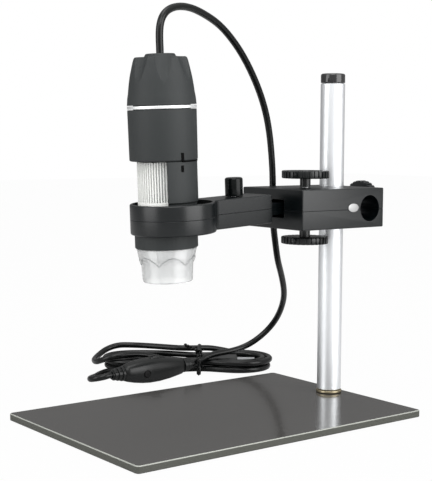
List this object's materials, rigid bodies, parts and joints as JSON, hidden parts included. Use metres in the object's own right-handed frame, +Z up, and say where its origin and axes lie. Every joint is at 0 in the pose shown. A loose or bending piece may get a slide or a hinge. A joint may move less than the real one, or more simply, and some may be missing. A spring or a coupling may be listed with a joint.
{
  "type": "usb digital microscope on stand",
  "caption": "Handheld digital microscope held in a ring arm on a split clamp, on a round post with a flat weighted plate; its lead has an in-line controller, a tied hank and a plug.",
  "frame": {"origin": "centre of the plate's underside, on the standing surface", "axes": "+X along the plate's front long edge to the right, +Y to the back, +Z up"},
  "size_m": [0.1909, 0.2107, 0.2012],
  "materials": {
    "plate_paint": "dark grey semi-gloss paint",
    "polished_metal": "polished",
    "brass": "plain",
    "steel": "plain turned",
    "black_plastic": "black satin moulding",
    "gloss_black": "black gloss",
    "grey_rubber": "dark grey soft-touch",
    "cord_jacket": "black satin",
    "white_translucent": "milky",
    "clear_plastic": "clear",
    "lens_glass": "coated",
    "circuit_board": "green solder mask",
    "chip": "black"
  },
  "bodies": {
    "stand": {"base_plate": "plate_paint", "post_collar": "brass", "post_screw": "steel", "lead_slack": "cord_jacket", "lead_low": "cord_jacket", "controller_front": "black_plastic", "controller_back": "black_plastic", "controller_board": "circuit_board", "relief_left": "black_plastic", "relief_right": "black_plastic", "controller_lead": "cord_jacket", "cord_hank": "cord_jacket", "plug_lead": "cord_jacket", "plug_grip": "black_plastic", "plug_shell": "polished_metal", "plug_tongue": "white_translucent", "twist_tie": "cord_jacket"},
    "post": {"post": "polished_metal", "post_cap": "gloss_black"},
    "clamp": {"clamp_lower": "black_plastic", "clamp_upper": "black_plastic", "clamp_screw_1": "steel", "clamp_screw_2": "steel", "clamp_screw_3": "steel", "clamp_screw_4": "steel"},
    "top_thumbscrew": {"top_knob": "black_plastic", "top_knob_screw": "steel"},
    "bottom_thumbscrew": {"bottom_knob": "black_plastic", "bottom_knob_screw": "steel"},
    "side_thumbscrew": {"side_knob": "black_plastic", "side_knob_screw": "steel"},
    "arm": {"arm_upper": "black_plastic", "arm_lower": "black_plastic", "arm_screw_1": "steel", "arm_screw_2": "steel", "arm_stud": "steel", "holder_pad": "grey_rubber", "lead_arc": "cord_jacket"},
    "arm_knob": {"arm_knob": "black_plastic"},
    "head": {"lower_barrel": "grey_rubber", "upper_body": "grey_rubber", "silver_band": "polished_metal", "head_cap": "grey_rubber", "led_board": "circuit_board", "sensor_board": "circuit_board", "image_sensor": "chip"},
    "focus_wheel": {"focus_wheel": "white_translucent"},
    "lens": {"lens_tube": "black_plastic", "objective_lens": "lens_glass"},
    "hood": {"clear_hood": "clear_plastic"},
    "dimmer": {"dimmer_wheel": "black_plastic", "dimmer_pin": "steel"},
    "button": {"snapshot_button": "grey_rubber"}
  },
  "joints": [
    {"name": "post_swivel", "type": "hinge", "parent": "stand", "child": "post", "pos_m": [0.0759, 0.0009, 0.005], "axis": [0, 0, 1], "range_deg": [-30, 90], "deforming": ["lead_slack"]},
    {"name": "clamp_height", "type": "slide", "parent": "post", "child": "clamp", "axis": [0, 0, 1], "range_m": [-0.06, 0.05], "deforming": ["lead_slack"]},
    {"name": "arm_swivel", "type": "hinge", "parent": "clamp", "child": "arm", "pos_m": [0.0527, -0.0044, 0.1056], "axis": [0, 0, 1], "range_deg": [-14.6, 5.8], "deforming": ["lead_slack"]},
    {"name": "top_thumbscrew_turn", "type": "hinge", "parent": "clamp", "child": "top_thumbscrew", "pos_m": [0.0527, -0.0044, 0.118], "axis": [0, 0, 1], "range_deg": [-180, 180]},
    {"name": "bottom_thumbscrew_turn", "type": "hinge", "parent": "clamp", "child": "bottom_thumbscrew", "pos_m": [0.0527, -0.0044, 0.088], "axis": [0, 0, 1], "range_deg": [-180, 180]},
    {"name": "side_thumbscrew_turn", "type": "hinge", "parent": "clamp", "child": "side_thumbscrew", "pos_m": [0.0959, 0.0009, 0.104], "axis": [1, 0, 0], "range_deg": [-180, 180]},
    {"name": "arm_knob_turn", "type": "hinge", "parent": "arm", "child": "arm_knob", "pos_m": [0.0039, -0.00815, 0.10332], "axis": [-0.0464, -0.0036, 0.9989], "range_deg": [-180, 180]},
    {"name": "head_turn", "type": "hinge", "parent": "arm", "child": "head", "pos_m": [-0.03775, -0.00984, 0.10138], "axis": [-0.0464, -0.0036, 0.9989], "range_deg": [-180, 180]},
    {"name": "focus_turn", "type": "hinge", "parent": "head", "child": "focus_wheel", "pos_m": [-0.03775, -0.00984, 0.10138], "axis": [-0.0464, -0.0036, 0.9989], "range_deg": [-150, 150]},
    {"name": "lens_focus", "type": "slide", "parent": "head", "child": "lens", "axis": [-0.0464, -0.0036, 0.9989], "range_m": [-0.004, 0.004]},
    {"name": "hood_pull", "type": "slide", "parent": "head", "child": "hood", "axis": [0.0464, 0.0036, -0.9989], "range_m": [0, 0.005]},
    {"name": "dimmer_turn", "type": "hinge", "parent": "stand", "child": "dimmer", "pos_m": [0.0237, 0.0893, 0.0087], "axis": [0, 1, 0], "range_deg": [-150, 150]},
    {"name": "button_press", "type": "slide", "parent": "stand", "child": "button", "axis": [0, 1, 0], "range_m": [0, 0.0005], "stiffness_N_per_m": 300}
  ],
  "couplings": [
    {"joint": "focus_turn", "follows": "lens_focus", "rad_per_m": 654.5}
  ]
}
